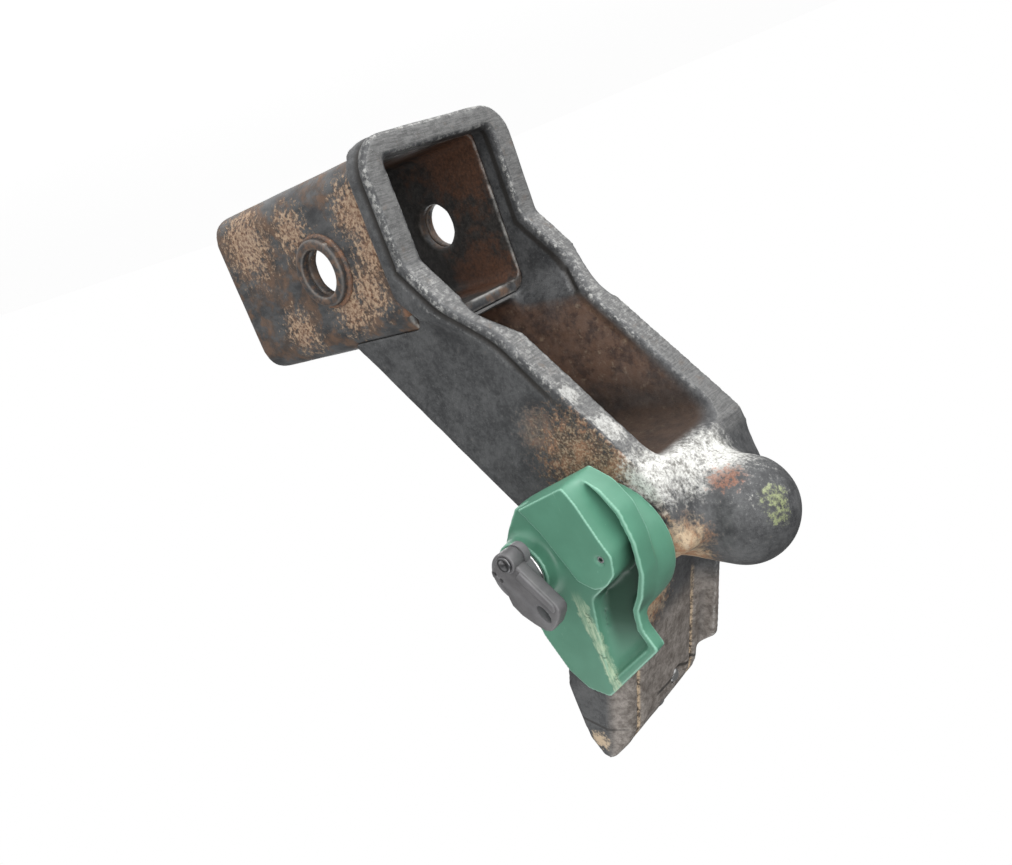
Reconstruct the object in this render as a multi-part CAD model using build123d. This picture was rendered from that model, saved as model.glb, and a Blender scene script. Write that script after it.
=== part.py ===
from build123d import *
import math
import os

# Detachable tow-hitch receiver: a cast arm that plugs up into a socket under the vehicle,
# with a square tube at its foot for a ball mount, and a turning lever that locks the plug.
# Frame: origin on the hitch-pin axis at the middle of the square tube.
# +X runs along the tube to the vehicle's front, +Z is up, and the lever is on the -Y side.

# ---- Driving dimensions, mm -----------------------------------------------------------
SOCKET = 51.2            # inside of the square socket, for a 50.8 mm ball mount
TUBE_WALL = 4.2          # wall of the square tube
TUBE_CORNER = 9.0        # outer corner radius of the square tube
SOCKET_CORNER = 3.0      # inner corner radius of the square socket
MOUTH_TO_PIN = 42.0      # from the mouth of the socket to the hitch-pin axis
PIN_TO_TAIL = 56.0       # from the hitch-pin axis to the open tail of the tube
PIN_HOLE = 16.2          # hole for the 5/8 in hitch pin
RING_DIA = 23.2          # ring welded round each pin hole
RING_H = 3.4             # how far that ring stands out from the tube
RING_ROUND = 1.0         # rounding of the ring's outer edge

RIM = 9.4                # width of the rim beside the mouth of the socket
RIM_LOW = 7.6            # and below it
COLLAR_DEPTH = 10.0      # length of the collar behind that rim
COLLAR_CORNER = 12.0     # outer corner radius of the collar
SADDLE = 12.0            # how far the arm's foot reaches down over the tube's upper corners

ARM_RISE = 96.0          # height of the arm's rear corner above the pin axis
ARM_LEAN = 0.75          # how far the arm goes forward for each mm it climbs
ARM_DEPTH = 64.5         # depth of the arm, front to back
ARM_WIDTH = 56.4         # width of the arm
KINK_Z = 6.0             # height at which the rim turns from the mouth into the arm
FLARE_Z0 = 22.0          # height at which the collar starts to narrow to the arm's width
FLARE_Z = 36.0           # height at which it has narrowed
BACK_LOW = 27.0          # height at which the arm's back turns down to the tube
ARM_ROUND = 5.0          # rounding of the arm's long back edges
SHOULDER_DROP = 4.0      # how far the arm's upper end stands in front of its front corner
SHOULDER_LEN = 23.0      # height of that upper end

POCKET_WIDTH = 36.2      # width of the open pocket in the arm
POCKET_DROP = 13.4       # from the arm's rear corner down to the pocket's upper end
POCKET_CORNER = 6.0      # rounding of the pocket's corners
POCKET_BACK_WALL = 6.0   # wall left behind the pocket
DIVIDER = 6.4            # thickness of the wall between socket and pocket

SHAFT_UP = 5.8           # axis of the lever and its shaft, above the arm's rear corner
SHAFT_IN = 32.85         # and behind the line of the rim at that height
BOSS_R = 17.2            # rounded locating boss on the front of the arm
BOSS_OUT = 27.0          # from the shaft's axis forward to the centre of the boss's round end
BOSS_UP = 5.8            # and up to it
BOSS_TILT = 10.0         # how far the boss points down from level
BOSS_LEN = 22.0          # straight length behind the round end

PLUG_TILT = 20.0         # lean of the plug from the vertical, towards the vehicle's front
PLUG_LENGTH = 60.0       # from the plug's reference plane to its tip
PLUG_BACK = 12.0         # plug axis to the plug's rear face
PLUG_FRONT = 12.0        # plug axis to the plug's front face
PLUG_FACE = 46.0         # width of the flat on the front face
PLUG_BEVEL = 7.5         # depth of the long bevels beside that flat
PLUG_LEAD = 13.0         # length of the lead-in at the upper end of the front face
PLUG_NOSE = 26.0         # length over which the rear face tapers to the tip
PLUG_TIP = 3.0           # place of the tip in front of the plug's axis
TIP_T = 4.0              # thickness of the blunt tip
PLUG_ROOT = 24.0         # how far the plug reaches down below its reference plane
PLUG_NECK = 18.0         # how far below that plane its sides leave the arm
LEAD_DROP = 2.0          # fall of the front face halfway along its lead-in
KNEE_LEN = 6.0           # from the tip to the knee in the rear face
KNEE_BACK = 4.0          # and that knee's place behind the plug's axis
RIB_T = 4.0              # guide rib on the far side of the front face
RIB_OUT = 6.0            # how far that rib stands out in front of the flat
RIB_END = 46.0           # height of the rib's upper end along the plug
RIB_RAMP = 10.0          # length of the ramp at that end
RIB_FROM = -6.0          # height of its lower end
RIB_ROOT = 8.0           # how far it reaches into the plug
GROOVE_W = 3.0           # long dirt grooves in the front face
GROOVE_D = 2.2
GROOVE_IN = 2.5          # from the edge of the flat to the groove
GROOVE_FROM = -10.0      # where it starts along the plug

RUN = 0.05               # radial clearance of a running fit
SLIDE = 0.3              # clearance between pieces that slide past each other
CHAMBER_R = 12.5         # round chamber in the arm for the crank and its carrier
CRANK_ROOM = 7.4         # length of the chamber left free for the crank's disc
SHAFT_R = 6.0            # turning shaft
BUSH_WALL = 2.0          # wall of the plain bushes
BUSH_LEN = 6.0
SEAL_LEN = 2.6
CARRIER_LIP = 1.2        # circlip that holds the carrier in: its thickness and width
CIRCLIP_W = 2.4
CRANK_THROW = 7.0        # crank pin's distance from the shaft's axis
CRANK_PIN_R = 2.2
CRANK_DISC_R = 11.2
CRANK_DISC_T = 5.0
CRANK_GAP = 1.0          # between the crank's disc and the plunger's head
CRANK_SWING = 45.0       # crank's angle either side of square: locked above, free below

SHAFT_S = -37.5          # place of the shaft's axis along the plug
SHAFT_U = 9.5            # and in front of the plug's axis
PLUNGER_U = 4.4          # plunger's axis in front of the plug's axis
PLUNGER_R = 5.5
PLUNGER_TIP = 50.0       # plunger's tip along the plug when locked
PLUNGER_TAPER = 0.14     # fall of the tapered end's radius for each mm of length
TAPER_LEN = 10.0
CAP_LEN = 3.0            # pressed cap that closes the plunger's bore
CAP_GAP = 1.0            # free length between the locked plunger and that cap
GUIDE_WALL = 1.6         # guide bush pressed into the bore
GUIDE_LEN = 16.0
GUIDE_GAP = 1.0          # free length between the plunger's head and that bush
HEAD_LEN = 10.0          # slotted head that the crank pin works in
HEAD_T = 11.6            # thickness of that head across the plug
HEAD_EDGE = 1.4          # metal left beside the slot
SLOT_GAP = 0.35          # clearance of the crank pin in the slot
BALL_R = 3.2             # locking balls
FRONT_BALL_S = 44.5      # the front ball's place along the plug
FRONT_BALL_ANGLE = 52.0  # and its hole's angle from the plug's middle plane
REAR_BALL_S = 47.4       # the rear ball's place along the plug
REAR_BALL_ANGLE = 180.0
BALL_GAP = 0.08

LEVER_GAP = 0.6          # clearance between the lever's foot and the arm's side
CUP_R = 20.5             # round foot of the lever
CUP_LEN = 11.2
CUP_WALL = 3.0
CUP_ROOM = 8.2           # depth of the hollow in that foot
PLATE_T = 7.5            # thickness of the lever's plate
GRIP_H = 6.5             # height of the grip above the plate
SCOOP_D = 5.5            # depth of the finger scoop beside the grip
TAIL_SCOOP_D = 2.8       # and of its shallow end in the tail
TAIL_T = 4.4             # thickness of the lever's tail
TAIL_FROM = 9.5          # height above the shaft's axis at which the tail begins
HUB_R = 10.0             # steel hub inside the lever
HUB_SKIN = 7.0           # plastic left in front of the hub
SHAFT_STOP = 1.0         # closed end of the hub beyond the shaft
CROSS_PIN_R = 2.0        # roll pin through hub and shaft
GRIP_PIN_R = 1.25        # small spring pin in the grip's face
GRIP_PIN_LEN = 9.0
GRIP_PIN_BORE = 0.6      # radius of the hole in it
GRIP_PIN_IN = 0.6        # how far it lies below that face
GRIP_PIN_DX = -14.0      # its place from the shaft's axis
GRIP_PIN_DZ = -7.4
FOOT_SEAL_W = 1.6        # soft ring in the lever's foot, against the arm
FOOT_SEAL_DEPTH = 1.4
FOOT_SEAL_GAP = 0.3
SPRING_R = 14.2          # torsion spring round the hub: mean radius
SPRING_WIRE = 1.6
SPRING_TURNS = 2.5
SPRING_PITCH = 2.1

LOCK_DX = 18.0           # key lock's axis from the shaft's axis
LOCK_DZ = -2.2
LOCK_BOSS_R = 9.6        # boss of the lever round the lock
LOCK_R = 6.0             # lock's barrel
LOCK_LEN = 15.0
BEZEL_R = 8.6            # bright ring round the barrel
BEZEL_T = 1.6
CORE_R = 4.2             # turning core of the lock
CORE_LEN = 12.0
CORE_IN = 0.4            # how far the core lies inside the barrel's end
KEY_W = 1.8              # key slot
KEY_H = 6.4
KEY_DEPTH = 9.0
TONGUE_T = 2.0           # tongue on the core's inner end
TONGUE_LEN = 5.4
TONGUE_W = 4.0
TONGUE_ROOT_R = 3.4
TONGUE_SCREW_R = 1.5
BRACKET_T = 2.4          # grey plate under the dust cover
COVER_T = 5.0            # dust cover over the key slot
COVER_W = 14.4           # its width, and how far its pivot lies inside one long side
COVER_SIDE = 1.7
COVER_LEAN = 129.0       # direction of the closed cover from +X
COVER_ROOM = 2.2         # depth of the hollow under the cover
COVER_HOLE_R = 2.3       # thumb hole at the cover's end
COVER_HOLE_AT = 17.4     # its distance along the cover from the pivot
COVER_HOLE_OFF = 1.4     # and from the cover's middle line
PIVOT_DX = -4.2          # cover's pivot from the lock's axis
PIVOT_DZ = -7.8
PIVOT_BOSS_R = 3.4
PIVOT_R = 1.6            # pivot pin
PIVOT_HEAD_R = 2.7
PIVOT_HEAD_T = 0.8

# ---- Worked-out sizes -------------------------------------------------------------------
half_socket = SOCKET / 2
half_tube = half_socket + TUBE_WALL
half_collar = half_socket + RIM
low_collar = half_socket + RIM_LOW
half_arm = ARM_WIDTH / 2
saddle_z = half_socket - SADDLE
half_pocket = POCKET_WIDTH / 2
mouth_x = -MOUTH_TO_PIN
tube_x0 = mouth_x + COLLAR_DEPTH
divider_top = half_socket + DIVIDER
pocket_top = ARM_RISE - POCKET_DROP
tilt = math.radians(PLUG_TILT)
side_y = -half_arm
LOW = (Align.CENTER, Align.CENTER, Align.MIN)


def rim_x(z):
    """Front face of the arm at height z."""
    return mouth_x - ARM_LEAN * max(0.0, z - KINK_Z)


shaft_z = ARM_RISE + SHAFT_UP
shaft_x = rim_x(shaft_z) + SHAFT_IN


def plug_point(s, u):
    """Turns a place in the plug's own frame, s along it and u to its front, into X and Z."""
    ds = s - SHAFT_S
    du = u - SHAFT_U
    x = shaft_x + ds * math.sin(tilt) - du * math.cos(tilt)
    z = shaft_z + ds * math.cos(tilt) + du * math.sin(tilt)
    return (x, z)


def side_plate(points, y0, y1):
    """A plate whose outline is given in X and Z, from y0 to y1."""
    outline = make_face(Polyline([(x, -z) for x, z in points], close=True))
    return Pos(0, y0, 0) * Rot(-90, 0, 0) * extrude(outline, y1 - y0, dir=(0, 0, 1))


def plug_plate(points, y0, y1):
    """A plate whose outline is given in the plug's own frame."""
    return side_plate([plug_point(s, u) for s, u in points], y0, y1)


def rod_y(r, x, z, y0, y1):
    """A round bar along Y."""
    return Pos(x, y0, z) * Rot(-90, 0, 0) * Cylinder(r, y1 - y0, align=LOW)


def ring_y(r_out, r_in, x, z, y0, y1):
    """A round ring along Y."""
    return rod_y(r_out, x, z, y0, y1) - rod_y(r_in, x, z, y0 - 1, y1 + 1)


def plug_rod(r, s0, s1, u):
    """A round bar along the plug."""
    x, z = plug_point(s0, u)
    return Pos(x, 0, z) * Rot(0, PLUG_TILT, 0) * Cylinder(r, s1 - s0, align=LOW)


def square_bar(half, corner, x0, x1):
    """A square bar along X with rounded long edges."""
    section = RectangleRounded(2 * half, 2 * half, corner)
    return Pos(x0, 0, 0) * Rot(0, 90, 0) * extrude(section, x1 - x0)


nodes = {}


# ---- Square tube and its pin rings -------------------------------------------------------
def make_tube():
    tube = square_bar(half_tube, TUBE_CORNER, tube_x0, PIN_TO_TAIL)
    tube -= square_bar(half_socket, SOCKET_CORNER, tube_x0 - 1, PIN_TO_TAIL + 1)
    return tube - rod_y(PIN_HOLE / 2, 0, 0, -half_tube - 1, half_tube + 1)


def make_pin_ring(y_in, y_out):
    ring = ring_y(RING_DIA / 2, PIN_HOLE / 2, 0, 0, min(y_in, y_out), max(y_in, y_out))
    outer = ring.edges().filter_by(GeomType.CIRCLE).group_by(Axis.Y)[-1 if y_out > 0 else 0]
    return fillet(outer.sort_by(SortBy.RADIUS)[-1], RING_ROUND)


nodes["receiver_tube"] = make_tube()
nodes["pin_ring_near"] = make_pin_ring(-half_tube, -half_tube - RING_H)
nodes["pin_ring_far"] = make_pin_ring(half_tube, half_tube + RING_H)


# ---- Cast arm -----------------------------------------------------------------------------
shoulder_z = pocket_top + 2
shoulder_x = rim_x(shoulder_z)
boss_x = shaft_x - BOSS_OUT
boss_z = shaft_z + BOSS_UP


def back_x(z):
    """Rear face of the arm at height z."""
    return rim_x(z) + ARM_DEPTH


def make_collar():
    """Rim round the mouth, which flares down into the arm's width."""
    collar_top = FLARE_Z + COLLAR_DEPTH
    outline = [(-half_collar, -low_collar), (half_collar, -low_collar), (half_collar, FLARE_Z0),
               (half_arm, FLARE_Z), (half_arm, collar_top), (-half_arm, collar_top),
               (-half_arm, FLARE_Z), (-half_collar, FLARE_Z0)]
    front = make_face(Polyline([(-z, y) for y, z in outline], close=True))
    length = tube_x0 - rim_x(collar_top)
    slab = Pos(tube_x0 - length, 0, 0) * Rot(0, 90, 0) * extrude(front, length)
    band = side_plate([(mouth_x, -low_collar - 1), (tube_x0, -low_collar - 1), (tube_x0, saddle_z + 2),
                       (rim_x(collar_top) + COLLAR_DEPTH, collar_top + 1), (rim_x(collar_top), collar_top + 1),
                       (mouth_x, KINK_Z)], -half_collar - 1, half_collar + 1)
    collar = slab & band
    low = collar.edges().filter_by(Axis.X).group_by(Axis.Z)[0]
    return fillet(low, COLLAR_CORNER)


def make_arm():
    outline = [(mouth_x, saddle_z), (mouth_x, KINK_Z), (shoulder_x, shoulder_z),
               (shoulder_x - SHOULDER_DROP, shoulder_z + SHOULDER_LEN),
               plug_point(-PLUG_NECK, PLUG_FRONT), plug_point(-PLUG_NECK, -PLUG_BACK),
               (back_x(ARM_RISE), ARM_RISE), (back_x(BACK_LOW), BACK_LOW),
               (back_x(BACK_LOW), saddle_z)]
    arm = side_plate(outline, -half_arm, half_arm)
    long_edges = arm.edges().filter_by(lambda e: abs(e.center().Y) > half_arm - 0.1)
    behind = long_edges.filter_by(lambda e: e.center().X > rim_x(e.center().Z) + ARM_DEPTH / 2)
    back = behind.filter_by(lambda e: e.center().Z > FLARE_Z)
    return fillet(back, ARM_ROUND)


def make_plug():
    """Wedge that plugs into the vehicle, with bevelled front edges, grooves and a guide rib."""
    tip = PLUG_LENGTH
    tip_back = PLUG_TIP - TIP_T / 4
    side = plug_plate([(-PLUG_ROOT, -PLUG_BACK), (tip - PLUG_NOSE, -PLUG_BACK), (tip - KNEE_LEN, -KNEE_BACK),
                       (tip, tip_back), (tip, tip_back + TIP_T), (tip - PLUG_LEAD / 2, PLUG_FRONT - LEAD_DROP),
                       (tip - PLUG_LEAD, PLUG_FRONT), (-PLUG_ROOT, PLUG_FRONT)], -half_arm, half_arm)
    for sign in (-1, 1):
        x0, z0 = plug_point(-PLUG_ROOT, 0)
        flat_y = sign * PLUG_FACE / 2
        bevel = [(PLUG_FRONT + 1, flat_y), (PLUG_FRONT + 1, sign * (half_arm + 3)),
                 (PLUG_FRONT - PLUG_BEVEL, sign * half_arm), (PLUG_FRONT, flat_y)]
        wedge = make_face(Polyline(bevel, close=True))
        frame = Plane(origin=(x0, 0, z0), x_dir=(-math.cos(tilt), 0, math.sin(tilt)),
                      z_dir=(math.sin(tilt), 0, math.cos(tilt)))
        side -= extrude(frame * wedge, tip + 2 * PLUG_ROOT, dir=frame.z_dir)
        g0 = flat_y - sign * GROOVE_IN
        g1 = g0 - sign * GROOVE_W
        side -= plug_plate([(GROOVE_FROM, PLUG_FRONT - GROOVE_D), (tip, PLUG_FRONT - GROOVE_D),
                            (tip, PLUG_FRONT + 2), (GROOVE_FROM, PLUG_FRONT + 2)], min(g0, g1), max(g0, g1))
    rib_top = PLUG_FRONT + RIB_OUT
    rib = plug_plate([(RIB_FROM, PLUG_FRONT - RIB_ROOT), (RIB_FROM, rib_top), (RIB_END - RIB_RAMP, rib_top),
                      (RIB_END, PLUG_FRONT - RIB_ROOT / 2), (RIB_END, PLUG_FRONT - RIB_ROOT)],
                     half_arm - RIB_T, half_arm)
    return side + rib


def make_boss():
    """Round-ended locating boss."""
    place = Pos(boss_x, 0, boss_z) * Rot(0, 90 + BOSS_TILT, 0)
    return place * (Sphere(BOSS_R) + Cylinder(BOSS_R, BOSS_LEN, align=LOW))


crank_up = math.radians(CRANK_SWING)
pin_s = SHAFT_S + CRANK_THROW * math.sin(crank_up)
pin_u = SHAFT_U - CRANK_THROW * math.cos(crank_up)
pin_u_min = SHAFT_U - CRANK_THROW
travel = 2 * CRANK_THROW * math.sin(crank_up)
head_s0 = pin_s - HEAD_LEN / 2
head_s1 = pin_s + HEAD_LEN / 2
head_u0 = min(pin_u_min - CRANK_PIN_R - SLOT_GAP - HEAD_EDGE, PLUNGER_U - PLUNGER_R)
head_u1 = PLUNGER_U + PLUNGER_R
bore_r = PLUNGER_R + BALL_GAP
cap_s0 = PLUNGER_TIP + CAP_GAP
guide_s0 = head_s1 + SLIDE + GUIDE_GAP
crank_y1 = -HEAD_T / 2 - CRANK_GAP
crank_y0 = crank_y1 - CRANK_DISC_T
chamber_y1 = -HEAD_T / 2 - SLIDE
carrier_y1 = crank_y0 - SLIDE


def ball_place(s, degrees, out):
    """A place at a distance out from the plunger's axis, on the line of a ball's hole."""
    a = math.radians(degrees)
    x, z = plug_point(s, PLUNGER_U + out * math.cos(a))
    return (x, out * math.sin(a), z)


def ball_hole(s, degrees):
    start = Vector(*ball_place(s, degrees, 0))
    hole = Plane(origin=start, z_dir=Vector(*ball_place(s, degrees, 1)) - start)
    return hole * Cylinder(BALL_R + BALL_GAP, PLUG_FRONT * 2, align=LOW)


def make_casting():
    body = make_arm() + make_collar() + make_plug() + make_boss()
    body -= square_bar(half_tube, TUBE_CORNER, tube_x0, PIN_TO_TAIL + 1)
    mouth = make_face(Polyline([(-z, y) for y, z in [
        (-half_socket, -half_socket), (half_socket, -half_socket), (half_socket, half_socket),
        (half_pocket, FLARE_Z), (-half_pocket, FLARE_Z), (-half_socket, half_socket)]], close=True))
    depth = tube_x0 - rim_x(FLARE_Z) + 4
    body -= Pos(tube_x0 - depth, 0, 0) * Rot(0, 90, 0) * extrude(mouth, depth)
    pocket = side_plate([(rim_x(divider_top) - 10, divider_top), (rim_x(pocket_top) - 10, pocket_top),
                         (back_x(pocket_top) - POCKET_BACK_WALL, pocket_top),
                         (back_x(divider_top) - POCKET_BACK_WALL, divider_top)], -half_pocket, half_pocket)
    pocket = fillet(pocket.edges().filter_by(lambda e: abs(e.center().Z - pocket_top) < 0.1
                                             and abs(e.center().Y) > half_pocket - 0.1), POCKET_CORNER)
    body -= pocket
    body -= rod_y(CHAMBER_R, shaft_x, shaft_z, side_y - 1, chamber_y1)
    room = HEAD_T / 2 + SLIDE
    body -= plug_plate([(head_s0 - travel - SLIDE, head_u0 - SLIDE), (head_s1 + SLIDE, head_u0 - SLIDE),
                        (head_s1 + SLIDE, head_u1 + SLIDE), (head_s0 - travel - SLIDE, head_u1 + SLIDE)],
                       -room, room)
    body -= plug_rod(bore_r, head_s1, cap_s0 + CAP_LEN, PLUNGER_U)
    body -= plug_rod(PLUNGER_R + GUIDE_WALL, head_s1, guide_s0 + GUIDE_LEN, PLUNGER_U)
    body -= ball_hole(FRONT_BALL_S, FRONT_BALL_ANGLE)
    return body - ball_hole(REAR_BALL_S, REAR_BALL_ANGLE)


nodes["arm_casting"] = make_casting()


# ---- Locking mechanism inside the plug ----------------------------------------------------
def make_crank():
    """Shaft, disc and crank pin in one forging."""
    shaft = rod_y(SHAFT_R, shaft_x, shaft_z, hub_y0 + SHAFT_STOP, crank_y0 + 1)
    disc = rod_y(CRANK_DISC_R, shaft_x, shaft_z, crank_y0, crank_y1)
    px, pz = plug_point(pin_s, pin_u)
    pin = rod_y(CRANK_PIN_R, px, pz, crank_y1 - 1, HEAD_T / 2)
    return shaft + disc + pin - cross_pin(2 * HUB_R + 2)


def cross_pin(length):
    return Pos(shaft_x, cross_y, shaft_z) * Rot(0, 90, 0) * Cylinder(CROSS_PIN_R, length)


def make_plunger():
    """Round plunger with a slotted head and a tapered end."""
    half_t = HEAD_T / 2
    rod = plug_rod(PLUNGER_R, head_s1 - 2, PLUNGER_TIP - TAPER_LEN, PLUNGER_U)
    x, z = plug_point(PLUNGER_TIP - TAPER_LEN, PLUNGER_U)
    taper = Cone(PLUNGER_R, PLUNGER_R - PLUNGER_TAPER * TAPER_LEN, TAPER_LEN, align=LOW)
    head = plug_plate([(head_s0, head_u0), (head_s1, head_u0), (head_s1, head_u1), (head_s0, head_u1)],
                      -half_t, half_t)
    gap = CRANK_PIN_R + SLOT_GAP
    slot = plug_plate([(pin_s - gap, pin_u_min - gap), (pin_s + gap, pin_u_min - gap),
                       (pin_s + gap, head_u1 + 1), (pin_s - gap, head_u1 + 1)], -half_t - 1, half_t + 1)
    return rod + Pos(x, 0, z) * Rot(0, PLUG_TILT, 0) * taper + head - slot


def make_ball(s, degrees):
    """A ball resting on the tapered end of the plunger."""
    taper_r = PLUNGER_R - PLUNGER_TAPER * (s - (PLUNGER_TIP - TAPER_LEN))
    return Pos(*ball_place(s, degrees, taper_r + BALL_R + BALL_GAP)) * Sphere(BALL_R)


def make_carrier():
    """Round carrier pressed into the chamber, bored for the two bushes and the seal."""
    carrier = rod_y(CHAMBER_R, shaft_x, shaft_z, carrier_y0, carrier_y1)
    carrier -= rod_y(SHAFT_R + 2 * RUN + SLIDE, shaft_x, shaft_z, carrier_y0 - 1, carrier_y1 + 1)
    carrier -= rod_y(bush_r, shaft_x, shaft_z, carrier_y0 - 1, carrier_y0 + SEAL_LEN + BUSH_LEN)
    return carrier - rod_y(bush_r, shaft_x, shaft_z, carrier_y1 - BUSH_LEN, carrier_y1 + 1)


def make_spring():
    """Torsion spring round the hub."""
    height = SPRING_PITCH * SPRING_TURNS
    path = Helix(SPRING_PITCH, height, SPRING_R)
    coil = sweep(Plane(origin=path @ 0, z_dir=path % 0) * Circle(SPRING_WIRE / 2), path)
    return Pos(shaft_x, spring_y0, shaft_z) * Rot(-90, 0, 0) * coil


hub_y1 = side_y - LEVER_GAP
cup_y0 = side_y - LEVER_GAP - CUP_LEN
plate_y0 = cup_y0 - PLATE_T
grip_y0 = plate_y0 - GRIP_H
hub_y0 = plate_y0 + HUB_SKIN
cup_floor = side_y - LEVER_GAP - CUP_ROOM
cross_y = cup_floor + CROSS_PIN_R + SLIDE
bush_r = SHAFT_R + RUN + BUSH_WALL
carrier_y0 = side_y + CARRIER_LIP
spring_y0 = cup_floor + SPRING_WIRE / 2 + SLIDE

nodes["crank_shaft"] = make_crank()
nodes["locking_plunger"] = make_plunger()
nodes["plunger_guide"] = (plug_rod(PLUNGER_R + GUIDE_WALL, guide_s0, guide_s0 + GUIDE_LEN, PLUNGER_U)
                          - plug_rod(PLUNGER_R + RUN, guide_s0 - 1, guide_s0 + GUIDE_LEN + 1, PLUNGER_U))
nodes["bore_cap"] = plug_rod(bore_r, cap_s0, cap_s0 + CAP_LEN, PLUNGER_U)
nodes["locking_ball_front"] = make_ball(FRONT_BALL_S, FRONT_BALL_ANGLE)
nodes["locking_ball_rear"] = make_ball(REAR_BALL_S, REAR_BALL_ANGLE)
nodes["shaft_carrier"] = make_carrier()
nodes["carrier_circlip"] = ring_y(CHAMBER_R, CHAMBER_R - CIRCLIP_W, shaft_x, shaft_z, side_y, carrier_y0)
nodes["shaft_seal"] = ring_y(bush_r, SHAFT_R + 2 * RUN, shaft_x, shaft_z, carrier_y0, carrier_y0 + SEAL_LEN)
nodes["shaft_bush_outer"] = ring_y(bush_r, SHAFT_R + RUN, shaft_x, shaft_z,
                                   carrier_y0 + SEAL_LEN, carrier_y0 + SEAL_LEN + BUSH_LEN)
nodes["shaft_bush_inner"] = ring_y(bush_r, SHAFT_R + RUN, shaft_x, shaft_z, carrier_y1 - BUSH_LEN, carrier_y1)


# ---- Turning lever ------------------------------------------------------------------------
lock_x = shaft_x + LOCK_DX
lock_z = shaft_z + LOCK_DZ
lock_y0 = grip_y0
lock_y1 = lock_y0 + LOCK_LEN
pivot_x = lock_x + PIVOT_DX
pivot_z = lock_z + PIVOT_DZ
bezel_y0 = grip_y0
bracket_y0 = bezel_y0 - BRACKET_T
cover_y1 = bracket_y0 - SLIDE
cover_y0 = cover_y1 - COVER_T

# Outlines of the lever, from the shaft's axis: its plate, its grip and the finger scoop.
plate_outline = [(-9.7, -29.9), (-16.5, -25.5), (-20.9, -18.5), (-22.5, -9), (-21.6, 1), (-18.6, 8.5),
                 (-15.4, 13), (-14.6, 19), (-17.5, 25.7), (7, 44.9), (14.7, 42.8), (20.3, 36.8),
                 (25.3, 24.4), (27.9, 8), (27.4, -7.8), (23.7, -13), (17.2, -20.6), (9.7, -23.3)]
grip_outline = [(-9.6, -29.8), (-12.5, -24.4), (-16.4, -13.3), (-18.5, -8.4), (-17.3, -2.6), (-12.8, 1.4),
                (-8.5, 2.4), (-3.4, 0), (0.2, -7.3), (4.1, -15.3), (9.7, -23.3)]
scoop_outline = [(-11.6, -28), (-15.2, -24), (-18.8, -17.6), (-20.3, -9), (-19.4, 0.4), (-16.2, 7.4),
                 (-14.8, TAIL_FROM), (-1, TAIL_FROM), (-9, 4)]
tail_scoop_outline = [(-14.8, TAIL_FROM - 0.01), (-12.8, 12.4), (-12, 19.4), (-14, 24.6), (4, 38), (2, 22.4),
                      (-0.2, 11), (-1, TAIL_FROM - 0.01)]


def from_shaft(points):
    return [(shaft_x + dx, shaft_z + dz) for dx, dz in points]


def foot_seal(y0, y1):
    middle = CUP_R - CUP_WALL / 2
    return ring_y(middle + FOOT_SEAL_W / 2, middle - FOOT_SEAL_W / 2, shaft_x, shaft_z, y0, y1)


def make_lever():
    """Moulded lever: round foot, plate with a finger scoop, grip and a boss for the key lock."""
    cup = rod_y(CUP_R, shaft_x, shaft_z, cup_y0 - 1, side_y - LEVER_GAP)
    lever = cup + side_plate(from_shaft(plate_outline), plate_y0, cup_y0)
    lever -= side_plate(from_shaft(scoop_outline), plate_y0 - 1, plate_y0 + SCOOP_D)
    lever -= side_plate(from_shaft(tail_scoop_outline), plate_y0 - 1, plate_y0 + TAIL_SCOOP_D)
    behind = [(-40, TAIL_FROM), (40, TAIL_FROM), (40, 60), (-40, 60)]
    over_cup = rod_y(CUP_R, shaft_x, shaft_z, plate_y0, side_y)
    lever -= side_plate(from_shaft(behind), plate_y0 + TAIL_T, cup_y0) - over_cup
    lever += side_plate(from_shaft(grip_outline), grip_y0, plate_y0 + SCOOP_D)
    lever += rod_y(LOCK_BOSS_R, lock_x, lock_z, bezel_y0 + BEZEL_T, cup_y0)
    lever -= rod_y(CUP_R - CUP_WALL, shaft_x, shaft_z, cup_floor, 0)
    lever -= rod_y(HUB_R, shaft_x, shaft_z, hub_y0, 0)
    lever -= foot_seal(hub_y1 - FOOT_SEAL_DEPTH, 0)
    lever -= rod_y(LOCK_R, lock_x, lock_z, grip_y0 - 1, lock_y1)
    lever -= rod_y(TONGUE_LEN + SLIDE, lock_x, lock_z, lock_y1 - 1, lock_y1 + TONGUE_T + 2 * SLIDE + 1)
    gx = shaft_x + GRIP_PIN_DX
    gz = shaft_z + GRIP_PIN_DZ
    lever -= rod_y(BEZEL_R, lock_x, lock_z, bezel_y0 - 1, bezel_y0 + BEZEL_T)
    return lever - rod_y(GRIP_PIN_R, gx, gz, grip_y0 - 1, grip_y0 + GRIP_PIN_LEN + GRIP_PIN_IN)


def cover_point(u, v):
    """Turns a place on the cover, u along it from the pivot and v across it, into X and Z."""
    a = math.radians(COVER_LEAN)
    return (pivot_x + u * math.cos(a) - v * math.sin(a), pivot_z + u * math.sin(a) + v * math.cos(a))


def cover_slab(y0, y1):
    """Slab with its pivot at one corner, a waist over the lock and a blunt far end."""
    near_side = COVER_SIDE
    far_side = COVER_SIDE - COVER_W
    outline = [(-2.6, near_side - 3), (-2.6, far_side + 4.2), (1.6, far_side + 3.6), (5, far_side + 2.8),
               (8.2, far_side), (13, far_side), (21.6, far_side + 3), (22.3, far_side + 7.4),
               (21, near_side - 1.4), (19.3, near_side), (3, near_side)]
    slab = side_plate([cover_point(u, v) for u, v in outline], y0, y1)
    return slab + rod_y(PIVOT_BOSS_R, pivot_x, pivot_z, y0, y1)


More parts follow.
